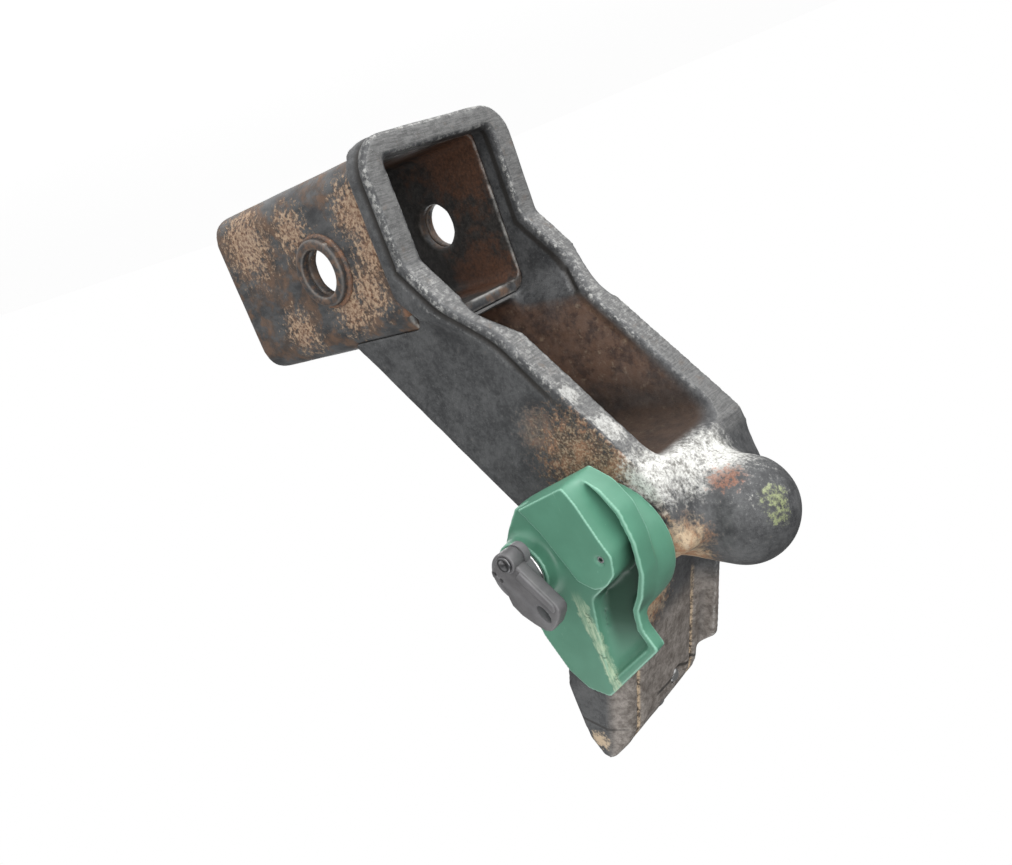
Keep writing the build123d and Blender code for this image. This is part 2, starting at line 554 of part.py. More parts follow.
def make_bracket():
    """Grey plate clipped round the bright ring, with the seat of the cover's pivot."""
    plate = rod_y(PIVOT_BOSS_R, pivot_x, pivot_z, bracket_y0, bezel_y0)
    plate += ring_y(BEZEL_R, LOCK_R, lock_x, lock_z, bracket_y0, bezel_y0)
    plate -= rod_y(PIVOT_R, pivot_x, pivot_z, bracket_y0 - 1, bezel_y0 + 1)
    return plate - rod_y(LOCK_R, lock_x, lock_z, bracket_y0 - 1, bezel_y0 + 1)


def make_cover():
    cover = cover_slab(cover_y0, cover_y1)
    cover -= rod_y(LOCK_R + 0.6, lock_x, lock_z, cover_y1 - COVER_ROOM, cover_y1 + 1)
    hx, hz = cover_point(COVER_HOLE_AT, COVER_SIDE - COVER_W / 2 + COVER_HOLE_OFF)
    cover -= rod_y(COVER_HOLE_R, hx, hz, cover_y0 - 1, cover_y1 + 1)
    return cover - rod_y(PIVOT_R + RUN, pivot_x, pivot_z, cover_y0 - 1, cover_y1 + 1)


def make_core():
    core = rod_y(CORE_R, lock_x, lock_z, lock_y0 + CORE_IN, lock_y0 + CORE_IN + CORE_LEN)
    core += rod_y(TONGUE_SCREW_R + 1, lock_x, lock_z, lock_y0 + CORE_LEN, lock_y1 + SLIDE)
    slot = Pos(lock_x, lock_y0 + CORE_IN + KEY_DEPTH / 2, lock_z) * Box(KEY_W, KEY_DEPTH, KEY_H)
    core -= slot
    return core - rod_y(TONGUE_SCREW_R, lock_x, lock_z, lock_y1 - 2, lock_y1 + 1)


def make_tongue():
    y0 = lock_y1 + SLIDE
    tongue = rod_y(TONGUE_ROOT_R, lock_x, lock_z, y0, y0 + TONGUE_T)
    finger = Box(TONGUE_W, TONGUE_T, TONGUE_LEN - 2 * SLIDE)
    tongue += Pos(lock_x, y0 + TONGUE_T / 2, lock_z + TONGUE_LEN / 2) * finger
    return tongue - rod_y(TONGUE_SCREW_R, lock_x, lock_z, y0 - 1, y0 + TONGUE_T + 1)


nodes["lever"] = make_lever()
nodes["lever_seal"] = foot_seal(hub_y1 - FOOT_SEAL_DEPTH, side_y - FOOT_SEAL_GAP)
hub = rod_y(HUB_R, shaft_x, shaft_z, hub_y0, hub_y1) - rod_y(SHAFT_R, shaft_x, shaft_z, hub_y0 + SHAFT_STOP, 0)
nodes["lever_hub"] = hub - cross_pin(2 * HUB_R + 2)
nodes["hub_pin"] = cross_pin(2 * HUB_R - 0.6)
nodes["grip_pin"] = ring_y(GRIP_PIN_R, GRIP_PIN_BORE, shaft_x + GRIP_PIN_DX, shaft_z + GRIP_PIN_DZ,
                           grip_y0 + GRIP_PIN_IN, grip_y0 + GRIP_PIN_IN + GRIP_PIN_LEN)
nodes["torsion_spring"] = make_spring()
nodes["lock_barrel"] = (rod_y(LOCK_R, lock_x, lock_z, lock_y0, lock_y1)
                        - rod_y(CORE_R + RUN, lock_x, lock_z, lock_y0 - 1, lock_y0 + CORE_IN + CORE_LEN + SLIDE)
                        - rod_y(TONGUE_SCREW_R + 1 + SLIDE, lock_x, lock_z, lock_y0, lock_y1 + 1))
nodes["lock_core"] = make_core()
nodes["lock_tongue"] = make_tongue()
nodes["tongue_screw"] = rod_y(TONGUE_SCREW_R, lock_x, lock_z, lock_y1 - 2, lock_y1 + SLIDE + TONGUE_T)
nodes["lock_bezel"] = ring_y(BEZEL_R, LOCK_R, lock_x, lock_z, bezel_y0, bezel_y0 + BEZEL_T)
nodes["cover_bracket"] = make_bracket()
nodes["dust_cover"] = make_cover()
nodes["cover_pivot"] = (rod_y(PIVOT_R, pivot_x, pivot_z, cover_y0, bezel_y0)
                        + rod_y(PIVOT_HEAD_R, pivot_x, pivot_z, cover_y0 - PIVOT_HEAD_T, cover_y0))

os.makedirs("parts", exist_ok=True)
for name, solid in nodes.items():
    export_step(solid, f"parts/{name}.step")
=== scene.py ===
import math

import bmesh
import bpy
import numpy as np
from mathutils import Matrix, Vector, noise


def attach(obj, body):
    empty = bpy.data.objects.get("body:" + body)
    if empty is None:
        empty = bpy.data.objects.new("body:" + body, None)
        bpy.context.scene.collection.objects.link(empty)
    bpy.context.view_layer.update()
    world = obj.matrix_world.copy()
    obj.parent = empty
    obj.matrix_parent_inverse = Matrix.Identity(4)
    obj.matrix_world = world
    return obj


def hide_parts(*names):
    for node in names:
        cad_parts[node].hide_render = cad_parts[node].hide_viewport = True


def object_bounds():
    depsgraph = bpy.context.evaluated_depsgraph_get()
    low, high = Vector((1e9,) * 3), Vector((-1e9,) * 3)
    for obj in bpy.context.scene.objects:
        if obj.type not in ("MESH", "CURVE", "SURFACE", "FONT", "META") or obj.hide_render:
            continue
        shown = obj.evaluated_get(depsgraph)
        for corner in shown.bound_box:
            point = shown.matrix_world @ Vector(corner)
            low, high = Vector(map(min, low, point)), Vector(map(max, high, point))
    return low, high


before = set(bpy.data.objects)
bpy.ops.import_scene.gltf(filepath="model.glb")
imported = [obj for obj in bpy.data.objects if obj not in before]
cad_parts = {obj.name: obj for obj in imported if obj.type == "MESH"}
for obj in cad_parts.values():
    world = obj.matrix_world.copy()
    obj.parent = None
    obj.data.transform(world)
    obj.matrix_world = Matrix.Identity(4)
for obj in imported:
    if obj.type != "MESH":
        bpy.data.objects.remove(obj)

cad_box = [list(corner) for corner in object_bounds()]
MM = 0.001


# ---- Camera ----
# It stands low at the open mouth's left and is rolled over, so that the plug that points up on
# the vehicle hangs down in the view.
CAMERA_AT = Vector((-0.2482, -0.2184, -0.0064))
LOOK_AZIMUTH = math.radians(44.12)
LOOK_CLIMB = math.radians(14.55)
CAMERA_ROLL = math.radians(159.4)
LENS_MM = 32.1

look = Vector((math.cos(LOOK_CLIMB) * math.cos(LOOK_AZIMUTH), math.cos(LOOK_CLIMB) * math.sin(LOOK_AZIMUTH),
               math.sin(LOOK_CLIMB)))
camera = bpy.data.objects.new("camera", bpy.data.cameras.new("camera"))
camera.data.lens = LENS_MM
camera.data.sensor_width = 36
camera.data.clip_start = 0.01
turned = look.to_track_quat("-Z", "Y").to_matrix().to_4x4() @ Matrix.Rotation(CAMERA_ROLL, 4, "Z")
camera.matrix_world = Matrix.Translation(CAMERA_AT) @ turned
bpy.context.scene.collection.objects.link(camera)
bpy.context.scene.camera = camera
bpy.context.scene.view_settings.view_transform = "Standard"


# ---- Floor and light ----
# A plain pale studio floor well below the part, soft lamps from below, from the camera's side,
# from overhead and from behind, and a white room all round.
FLOOR_DROP = 0.30
FLOOR_HALF = 6.0
FLOOR_GLOW = 0.80
ROOM_LIGHT = 0.20
ROOM_SEEN = 1.0
MIDDLE = Vector((-0.055, 0, 0.07))
LAMPS = (
    ("lamp_low", (-0.55, 0.02, -0.80), 0.38, 0.34, 1.4),
    ("lamp_near", (-0.70, -0.65, 0.05), 0.60, 0.40, 2.0),
    ("lamp_over", (0.25, -0.50, 0.90), 0.80, 0.70, 2.4),
    ("lamp_back", (0.70, 0.80, 0.35), 0.80, 0.60, 2.8),
)

floor_mesh = bmesh.new()
bmesh.ops.create_grid(floor_mesh, x_segments=2, y_segments=2, size=FLOOR_HALF)
floor = bpy.data.objects.new("floor", bpy.data.meshes.new("floor"))
floor_mesh.to_mesh(floor.data)
floor_mesh.free()
floor.location = (0, 0, cad_box[0][2] - FLOOR_DROP)
bpy.context.scene.collection.objects.link(floor)
floor_look = bpy.data.materials.new("pale_floor")
floor_look.use_nodes = True
floor_shader = floor_look.node_tree.nodes["Principled BSDF"]
floor_shader.inputs["Base Color"].default_value = (0.9, 0.9, 0.9, 1)
floor_shader.inputs["Roughness"].default_value = 0.9
floor_shader.inputs["Emission Color"].default_value = (1, 1, 1, 1)
floor_shader.inputs["Emission Strength"].default_value = FLOOR_GLOW
floor.data.materials.append(floor_look)

for name, way, away, size, watts in LAMPS:
    lamp = bpy.data.objects.new(name, bpy.data.lights.new(name, "AREA"))
    lamp.data.shape = "SQUARE"
    lamp.data.size = size
    lamp.data.energy = watts
    lamp.visible_camera = False
    way = Vector(way).normalized()
    lamp.matrix_world = (Matrix.Translation(MIDDLE + way * away)
                         @ (-way).to_track_quat("-Z", "Y").to_matrix().to_4x4())
    bpy.context.scene.collection.objects.link(lamp)

room = bpy.data.worlds.new("room")
room.use_nodes = True
room_nodes = room.node_tree
room_light = room_nodes.nodes["Background"]
room_light.inputs["Strength"].default_value = ROOM_LIGHT
room_seen = room_nodes.nodes.new("ShaderNodeBackground")
for shade in (room_light, room_seen):
    shade.inputs["Color"].default_value = (1, 1, 1, 1)
room_seen.inputs["Strength"].default_value = ROOM_SEEN
seen = room_nodes.nodes.new("ShaderNodeLightPath")
either = room_nodes.nodes.new("ShaderNodeMixShader")
room_nodes.links.new(seen.outputs["Is Camera Ray"], either.inputs[0])
room_nodes.links.new(room_light.outputs[0], either.inputs[1])
room_nodes.links.new(room_seen.outputs[0], either.inputs[2])
room_nodes.links.new(either.outputs[0], room_nodes.nodes["World Output"].inputs["Surface"])
bpy.context.scene.world = room


# ---- Cast arm ----
# One iron casting: the collar round the mouth, the leaning arm with its open pocket, the round
# locating boss and the plug. It was painted black, and is worn grey on the sawn rim, rusty in its
# hollows, and crusted with pale corrosion and sand round the boss.
CAST_VOXEL = 0.9 * MM
CAST_ROUNDS = 9          # passes of smoothing that round every cast edge
NECK_ROUNDS = 70         # and those that blend the boss and the collar's flare into the arm
GROOVE_BACK = 4.2        # mm behind the rim's face at which a groove runs round the collar
GROOVE_WIDE = 0.8
GROOVE_DEEP = 1.3
SHAFT_AT = (-81.0, 0.0, 101.8)
PLUNGER_AT = (-76.2, 0.0, 100.1)
CHAMBER_R = 14.0         # mm round the shaft's line in which the casting's bores stay crisp
BORE_R = 9.0             # and mm round the plunger's line
PLUG_WAY = (math.sin(math.radians(20)), 0.0, math.cos(math.radians(20)))
KINK_Z = 6.0             # height in mm at which the rim leans away from the mouth
RIM_LEAN = 0.75
SEAT_X = -37.0           # mm; from here back, inside this half width, the tube's seat stays crisp
SEAT_HALF = 31.5
PLUG_LOW = 118.0         # mm along the plug's way at which its crisp, machined stretch begins


def as_piece(name, mesh):
    piece = bpy.data.objects.new(name, mesh)
    bpy.context.scene.collection.objects.link(piece)
    return piece


def even_copy(name, node, voxel):
    """A copy of a CAD node's shape in even small faces, which can be rounded and dented."""
    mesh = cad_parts[node].data.copy()
    mesh.materials.clear()
    welded = bmesh.new()
    welded.from_mesh(mesh)
    bmesh.ops.remove_doubles(welded, verts=welded.verts, dist=1e-6)
    welded.to_mesh(mesh)
    welded.free()
    piece = as_piece(name, mesh)
    remesh = piece.modifiers.new("even", "REMESH")
    remesh.mode = "VOXEL"
    remesh.voxel_size = voxel
    even = bpy.data.meshes.new_from_object(piece.evaluated_get(bpy.context.evaluated_depsgraph_get()))
    piece.modifiers.clear()
    piece.data = even
    return piece


def places(mesh):
    """Every corner's place, in mm."""
    spots = np.empty(len(mesh.vertices) * 3)
    mesh.vertices.foreach_get("co", spots)
    return spots.reshape(-1, 3) / MM


def move_to(mesh, spots):
    mesh.vertices.foreach_set("co", (spots * MM).ravel())
    mesh.update()


def relax(mesh, weight, rounds):
    """Draws each corner towards its neighbours' middle, by its weight, so that edges round over."""
    ends = np.empty(len(mesh.edges) * 2, int)
    mesh.edges.foreach_get("vertices", ends)
    a, b = ends.reshape(-1, 2).T
    count = len(mesh.vertices)
    meets = np.maximum(np.bincount(a, minlength=count) + np.bincount(b, minlength=count), 1)[:, None]
    spots = places(mesh)
    for _ in range(rounds):
        total = np.stack([np.bincount(a, spots[b, k], count) + np.bincount(b, spots[a, k], count)
                          for k in range(3)], axis=1)
        spots += weight[:, None] * (total / meets - spots)
    move_to(mesh, spots)


def near(spots, centre, radius):
    """1 at a place and 0 beyond a radius round it, in mm."""
    away = np.linalg.norm(spots - np.array(centre), axis=1) / radius
    return np.clip(1 - away, 0, 1) ** 0.5


def facing(mesh):
    ways = np.empty(len(mesh.vertices) * 3)
    mesh.vertices.foreach_get("normal", ways)
    return ways.reshape(-1, 3)


def shade_smooth(piece):
    piece.data.polygons.foreach_set("use_smooth", [True] * len(piece.data.polygons))
    piece.data.update()


def behind_rim(spots):
    """How far a place lies behind the rim's face, in mm."""
    rim = -42 - RIM_LEAN * np.maximum(spots[:, 2] - KINK_Z, 0)
    lean = np.where(spots[:, 2] > KINK_Z, math.cos(math.atan(RIM_LEAN)), 1.0)
    return (spots[:, 0] - rim) * lean


def fill_corners(mesh, where, cycles, rounds):
    """Smooths only the hollow corners, more and more widely, as a mould's fillets do."""
    ends = np.empty(len(mesh.edges) * 2, int)
    mesh.edges.foreach_get("vertices", ends)
    a, b = ends.reshape(-1, 2).T
    count = len(mesh.vertices)
    meets = np.maximum(np.bincount(a, minlength=count) + np.bincount(b, minlength=count), 1)
    for _ in range(cycles):
        spots = places(mesh)
        middle = np.stack([np.bincount(a, spots[b, k], count) + np.bincount(b, spots[a, k], count)
                           for k in range(3)], axis=1) / meets[:, None]
        hollow = np.clip(((middle - spots) * facing(mesh)).sum(1) * 25, 0, 1) * where
        for _ in range(5):
            spread = (np.bincount(a, hollow[b], count) + np.bincount(b, hollow[a], count)) / meets
            hollow = np.maximum(hollow, spread * 1.1).clip(0, 1)
        relax(mesh, 0.5 * hollow * where, rounds)


def waver(mesh, lump_mm, depth_mm):
    """Draws the surface in by up to a depth, in slow lumps, as on a sand casting."""
    spots = places(mesh)
    lumps = np.array([noise.noise(Vector(spot) / lump_mm) for spot in spots])
    move_to(mesh, spots - facing(mesh) * ((0.5 + 0.5 * lumps) * depth_mm)[:, None])


def off_line(spots, start, way):
    """How far each place lies from a line, in mm."""
    way = np.array(way) / np.linalg.norm(way)
    gap = spots - np.array(start)
    return np.linalg.norm(gap - np.outer(gap @ way, way), axis=1)


casting = even_copy("cast_arm", "arm_casting", CAST_VOXEL)
spots = places(casting.data)
inside = (off_line(spots, SHAFT_AT, (0, 1, 0)) < CHAMBER_R) & (spots[:, 1] > -28) & (spots[:, 1] < 8)
inside |= (off_line(spots, PLUNGER_AT, PLUG_WAY) < BORE_R) & (spots[:, 2] > 92)
sawn = (behind_rim(spots) < 2.5) & (spots[:, 2] < 84)
seat = (spots[:, 0] > SEAT_X) & (np.abs(spots[:, 1:]).max(axis=1) < SEAT_HALF)
plug = np.clip((spots @ np.array(PLUG_WAY) - PLUG_LOW) / 6, 0, 1)
firm = np.where(inside, 0.3, 1) * np.where(seat, 0.06, 1) * (1 - 0.6 * plug)
relax(casting.data, np.where(sawn, 0.28, 0.5) * firm, CAST_ROUNDS)
fill_corners(casting.data, np.where(inside | seat, 0.0, 1.0) * (1 - plug), 4, 10)
spots = places(casting.data)
neck = np.maximum.reduce([near(spots, (-97, 0, 96), 20), near(spots, (-99, 17, 100), 15),
                          near(spots, (-99, -17, 100), 15), near(spots, (-92, 0, 116), 18),
                          near(spots, (-50, 30, 38), 18), near(spots, (-50, -30, 38), 18)])
relax(casting.data, 0.5 * neck * np.where(inside, 0.0, 1.0), NECK_ROUNDS)
waver(casting.data, 9.0, 0.25)
spots = places(casting.data)
ways = facing(casting.data)
outward = np.clip(np.abs(ways[:, 1]) * 1.3, 0, 1) * (np.abs(spots[:, 1]) > 27) + (ways[:, 2] < -0.5)
groove = np.exp(-((behind_rim(spots) - GROOVE_BACK) / GROOVE_WIDE) ** 2) * np.clip(outward, 0, 1)
groove *= np.clip((60 - spots[:, 2]) / 20, 0, 1)
move_to(casting.data, spots - ways * (groove * GROOVE_DEEP)[:, None])
shade_smooth(casting)


class Value:
    """A number that varies over a surface. Arithmetic on it adds Math nodes."""

    def __init__(self, finish, socket):
        self.finish, self.socket = finish, socket

    def work(self, operation, a, b, clamp=False):
        return self.finish.node("Math", {"operation": operation, "use_clamp": clamp}, {0: a, 1: b})

    def __add__(self, other):
        return self.work("ADD", self, other)

    def __radd__(self, other):
        return self.work("ADD", other, self)

    def __sub__(self, other):
        return self.work("SUBTRACT", self, other)

    def __rsub__(self, other):
        return self.work("SUBTRACT", other, self)

    def __mul__(self, other):
        return self.work("MULTIPLY", self, other)

    def __rmul__(self, other):
        return self.work("MULTIPLY", other, self)

    def __truediv__(self, other):
        return self.work("DIVIDE", self, other)

    def __or__(self, other):
        return self.work("MAXIMUM", self, other)

    def between(self, low, high):
        """0 below low and 1 above high, with a soft step between."""
        return self.finish.node("MapRange", {"interpolation_type": "SMOOTHSTEP"},
                                {"Value": self, "From Min": low, "From Max": high})


class Finish:
    """A material. Places on it are in mm, in the part's own frame."""

    def __init__(self, name):
        self.material = bpy.data.materials.new(name)
        self.material.use_nodes = True
        self.tree = self.material.node_tree
        self.shader = self.tree.nodes["Principled BSDF"]
        spot = self.node("TexCoord", out="Object")
        self.place = self.node("VectorMath", {"operation": "SCALE"}, {0: spot, "Scale": 1000.0})
        self.way = self.node("TexCoord", out="Normal")
        self.sharp = self.node("NewGeometry", out="Pointiness")

    def node(self, kind, settings=None, sockets=None, out=0):
        node = self.tree.nodes.new("ShaderNode" + kind)
        for name, value in (settings or {}).items():
            setattr(node, name, value)
        for name, value in (sockets or {}).items():
            if isinstance(value, Value):
                self.tree.links.new(value.socket, node.inputs[name])
            else:
                node.inputs[name].default_value = value
        return Value(self, node.outputs[out])

    def noise(self, per_mm, detail=4.0, rough=0.6, stretch=(1, 1, 1), shift=0.0):
        """Cloudy noise, 0 to 1, with so many lumps to the mm."""
        place = self.node("VectorMath", {"operation": "MULTIPLY_ADD"},
                          {0: self.place, 1: stretch, 2: (shift, shift, shift)})
        return self.node("TexNoise", {}, {"Vector": place, "Scale": per_mm, "Detail": detail,
                                          "Roughness": rough})

    def along(self, way):
        """How far a place lies along a direction, in mm."""
        return self.node("VectorMath", {"operation": "DOT_PRODUCT"}, {0: self.place, 1: way}, out="Value")

    def faces(self, way):
        """1 where the surface faces a direction, 0 square to it and -1 away from it."""
        return self.node("VectorMath", {"operation": "DOT_PRODUCT"}, {0: self.way, 1: way}, out="Value")

    def off_line(self, start, way):
        """How far a place lies from a line, in mm."""
        gap = self.node("VectorMath", {"operation": "SUBTRACT"}, {0: self.place, 1: start})
        square = self.node("VectorMath", {"operation": "CROSS_PRODUCT"}, {0: gap, 1: way})
        return self.node("VectorMath", {"operation": "LENGTH"}, {0: square}, out="Value")

    def soft_patch(self, centre, radius, ragged, noise):
        """1 inside a ragged patch round a place, which fades out over half its radius."""
        away = self.node("VectorMath", {"operation": "DISTANCE"}, {0: self.place, 1: centre}, out="Value")
        inside = 1 - away / (2.0 * radius) + (noise - 0.5) * ragged
        return inside.between(0.36, 0.74)

    def colour(self, mask, below, above):
        """Goes from one colour to another as the mask goes from 0 to 1."""
        below, above = (c if isinstance(c, Value) else tuple(c) + (1.0,) for c in (below, above))
        return self.node("Mix", {"data_type": "RGBA"}, {0: mask, 6: below, 7: above}, out=2)

    def finish(self, colour, roughness, bump=None, depth_mm=0.1, metallic=0.0, **steady):
        """Feeds the shader: what varies is linked, and what is the same all over is set."""
        for name, value in {"Base Color": colour, "Roughness": roughness, "Metallic": metallic}.items():
            if isinstance(value, Value):
                self.tree.links.new(value.socket, self.shader.inputs[name])
            else:
                self.shader.inputs[name].default_value = value
        if bump is not None:
            normal = self.node("Bump", {}, {"Height": bump, "Distance": depth_mm * MM, "Strength": 1.0})
            self.tree.links.new(normal.socket, self.shader.inputs["Normal"])
        for name, value in steady.items():
            self.shader.inputs[name.replace("_", " ")].default_value = value
        return self.material


BLACK_PAINT = (0.030, 0.031, 0.033)
GREY_PAINT = (0.085, 0.087, 0.089)
WORN_RIM = (0.155, 0.155, 0.153)
DARK_RIM = (0.060, 0.060, 0.060)
CHIPPED = (0.46, 0.46, 0.44)
RUST = (0.17, 0.075, 0.040)
DEEP_RUST = (0.070, 0.032, 0.018)
SAND = (0.56, 0.43, 0.29)
PALE_CRUST = (0.72, 0.72, 0.69)
GREY_CRUST = (0.17, 0.165, 0.15)
GREEN_SMEAR = (0.30, 0.34, 0.15)
WORN_PLUG = (0.30, 0.27, 0.245)
# Near black: painted shade in corners, in the groove behind the rim and under the plug's ledge, and the
# seam's dark line
SHADE_AND_GRIME = (0.018, 0.016, 0.014)


def cast_finish():
    f = Finish("worn_casting")
    grain = f.noise(1.1, 6, 0.65)
    speckle = f.noise(2.6, 3, 0.7, shift=31.0)
    fine = f.noise(0.55, 7, 0.75, shift=19.0)
    cloud = f.noise(0.12, 6, 0.68)
    blotch = f.noise(0.22, 6, 0.68, shift=11.0)
    edge = f.sharp.between(0.515, 0.56)
    # the hollow corners, which are darkened below with painted shade
    hollow = 1 - f.sharp.between(0.43, 0.497)
    across = f.along((0, 1, 0))
    upright = f.along((0, 0, 1))
    outer = (f.faces((0, -1, 0)) | f.faces((0, 1, 0)) | f.faces((0, 0, -1))).between(0.4, 0.7)

    paint = f.colour((cloud * 0.5 + fine * 0.5).between(0.38, 0.62), BLACK_PAINT, GREY_PAINT)
    paint = f.colour(fine.between(0.60, 0.72) * 0.5, paint, (0.13, 0.10, 0.075))
    look_now = f.colour(speckle.between(0.64, 0.72) * 0.35, paint, CHIPPED)

    # sawn rim, worn to grey, with fine marks across it
    flat_rim = (f.faces((-1.0, 0.0, 0.0)) | f.faces((-0.8, 0.0, -0.6))).between(0.93, 0.98)
    rim = flat_rim * (1 - upright.between(84, 92))
    marks = f.noise(0.9, 4, 0.7, stretch=(2.4, 0.22, 2.4))
    worn = f.colour((marks * 0.6 + fine * 0.4).between(0.36, 0.64), DARK_RIM, WORN_RIM)
    worn = f.colour(blotch.between(0.56, 0.72) * 0.5, worn, (0.13, 0.10, 0.08))
    worn = f.colour(speckle.between(0.64, 0.70) * 0.5, worn, CHIPPED)
    look_now = f.colour(rim * 0.94, look_now, worn)

    # painted shade in the groove behind the rim, with the paint knocked off the edge in front of it
    behind = (f.along((0.8, 0.0, 0.6)) + 30.0) | (f.along((1, 0, 0)) + 42.0)
    low_part = (1 - upright.between(50, 66)) * outer
    knocked = (1 - behind.between(1.2, 2.6)) * low_part * fine.between(0.50, 0.62)
    look_now = f.colour(knocked * 0.4, look_now, CHIPPED)
    # a near black band down in the groove: painted shade
    groove_shade = behind.between(2.6, 3.5) * (1 - behind.between(4.6, 5.8)) * low_part
    look_now = f.colour(groove_shade * 0.9, look_now, SHADE_AND_GRIME)

    # rust inside the pocket, with painted shade high up inside it
    depth_in = behind.between(1, 6) * (1 - behind.between(48.0, 50.0))
    narrow = 1 - (across * across).between(17.2 ** 2, 19.5 ** 2)
    above = upright.between(31.0, 36.0) * (1 - upright.between(83.0, 86.0))
    pocket = depth_in * narrow * above
    brown = f.colour(blotch.between(0.35, 0.6), DEEP_RUST, (0.21, 0.115, 0.070))
    brown = f.colour(f.noise(0.35, 5, 0.7, shift=5.0).between(0.55, 0.7) * 0.5, brown, SAND)
    # near black higher up the pocket: painted shade deep inside it
    brown = f.colour(upright.between(60, 78) * 0.85, brown, (0.022, 0.015, 0.011))
    look_now = f.colour(pocket * 0.95, look_now, brown)

    # rusty, sandy side beside the lever, and a few specks lower down
    side = f.faces((0, -1, 0)).between(0.5, 0.9)
    rusty = (f.soft_patch((-88, -28, 84), 15, 2.2, fine) | f.soft_patch((-77, -28, 75), 14, 2.6, fine)
             | f.soft_patch((-66, -28, 66), 8, 1.4, fine) * 0.4) * side
    rusty_colour = f.colour(blotch.between(0.4, 0.6), (0.10, 0.065, 0.045), (0.32, 0.17, 0.10))
    rusty_colour = f.colour(grain.between(0.46, 0.60) * 0.6, rusty_colour, SAND)
    rusty_colour = f.colour(speckle.between(0.56, 0.66) * 0.7, rusty_colour, (0.05, 0.042, 0.036))
    look_now = f.colour(rusty * 0.9, look_now, rusty_colour)

    # pale crust over the arm's end and along the near rim
    crust = (f.soft_patch((-99, -12, 84), 12, 1.1, fine) | f.soft_patch((-104, 1, 90), 11, 1.1, fine)
             | f.soft_patch((-98, -24, 84), 9, 1.3, fine)
             | f.soft_patch((-88, -24, 68), 6, 1.7, fine) * rim * 0.6
             | f.soft_patch((-79, -25, 56), 4, 1.8, fine) * rim * 0.5)
    crust = crust * (1 - pocket)
    crust_colour = f.colour((grain * 0.5 + blotch * 0.5).between(0.36, 0.58), GREY_CRUST, PALE_CRUST)
    crust_colour = f.colour(speckle.between(0.56, 0.66) * 0.85, crust_colour, (0.09, 0.085, 0.08))
    look_now = f.colour(crust * 0.95, look_now, crust_colour)
    arc = f.soft_patch((-117, -4, 95), 8, 2.0, fine) * (speckle * 0.4 + fine * 0.6).between(0.54, 0.64)
    look_now = f.colour(arc * 0.6, look_now, CHIPPED)

    # sand packed between the boss, the lever and the plug
    sand = (f.soft_patch((-101, -26, 107), 9, 1.2, fine) | f.soft_patch((-96, -16, 116), 7, 1.5, fine)
            | f.soft_patch((-76, -14, 134), 14, 1.3, fine) * 0.9)
    sand_colour = f.colour(blotch.between(0.38, 0.6), (0.36, 0.19, 0.10), SAND)
    sand_colour = f.colour(speckle.between(0.57, 0.66) * 0.85, sand_colour, (0.05, 0.042, 0.036))
    look_now = f.colour(sand * 0.92, look_now, sand_colour)
    ring_rust = f.soft_patch((-110.4, -7.8, 92.5), 4.5, 2.4, fine)
    look_now = f.colour(ring_rust * fine.between(0.40, 0.55) * 0.7, look_now, (0.26, 0.10, 0.05))
    smear = f.soft_patch((-123.4, -6, 101), 3.6, 2.8, fine) | f.soft_patch((-124.5, -7, 106), 3.0, 2.8, fine)
    look_now = f.colour(smear * fine.between(0.42, 0.58) * 0.6, look_now, GREEN_SMEAR)

    # plug, rubbed to brown-grey metal in front, with sandy dirt in its grooves
    along_plug = f.along(PLUG_WAY) - 105.5
    off_front = f.along((-PLUG_WAY[2], 0.0, PLUG_WAY[0])) - 101.4
    front = off_front.between(3.0, 7.0) * along_plug.between(2, 14)
    rubbed = f.colour((fine * 0.5 + blotch * 0.5).between(0.38, 0.62), (0.105, 0.088, 0.075), WORN_PLUG)
    rubbed = f.colour(speckle.between(0.58, 0.68) * 0.6, rubbed, (0.035, 0.032, 0.03))
    look_now = f.colour(front * (1 - sand) * 0.95, look_now, rubbed)
    outward = across * across
    beside = outward.between(17.2 ** 2, 17.7 ** 2) * (1 - outward.between(20.4 ** 2, 20.8 ** 2))
    sunk = (1 - off_front.between(10.4, 11.4)) * off_front.between(8.0, 9.0)
    dirt = beside * sunk * along_plug.between(0, 6)
    dirt_colour = f.colour(fine.between(0.42, 0.58), (0.06, 0.045, 0.035), SAND)
    look_now = f.colour(dirt * 0.95, look_now, dirt_colour)
    # a painted shadow: a thin near black line under the step of the plug's ledge
    ledge_gap = along_plug - 43.0 - across * 0.12
    ledge = (1 - (ledge_gap * ledge_gap).between(0.15, 0.9)) * front * across.between(-9, -6)
    look_now = f.colour(ledge * 0.85, look_now, SHADE_AND_GRIME)
    seam_gap = along_plug - 46.0
    seam = (1 - (seam_gap * seam_gap).between(0.05, 0.5)) * side.between(0.8, 1.0)
    look_now = f.colour(seam * 0.8, look_now, SHADE_AND_GRIME)
    look_now = f.colour(f.soft_patch((-42, -27, 184), 3.5, 2.0, fine) * 0.85, look_now, SAND)

    # chipped edges, and painted shade in the hollow corners
    open_edge = edge * (1 - f.along((1, 0, 0)).between(-38.5, -37.0))
    look_now = f.colour(open_edge * fine.between(0.48, 0.6) * 0.7, look_now, CHIPPED)
    look_now = f.colour(hollow * (1 - dirt) * 0.8, look_now, SHADE_AND_GRIME)
    rough = 0.50 + 0.3 * (pocket | rusty | crust | sand) + (grain - 0.5) * 0.25
    height = grain * 0.6 + speckle * 0.25 + marks * rim * 0.3
    height = height + fine * (crust | rusty | sand | pocket * 0.6) * 1.6
    return f.finish(look_now, rough, height, 0.24, IOR=1.45)


casting.data.materials.append(cast_finish())
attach(casting, "arm")
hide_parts("arm_casting")


# ---- Square tube ----
# A thick square steel tube with rounded corners, sawn off at its tail and butted against the
# arm's collar. Its black paint has gone brown with rust near the collar and inside, where a ball
# mount rubs.
TUBE_VOXEL = 0.9 * MM
TUBE_ROUNDS = 7
COLLAR_BACK = -32.0      # mm; the back of the collar, where the tube begins

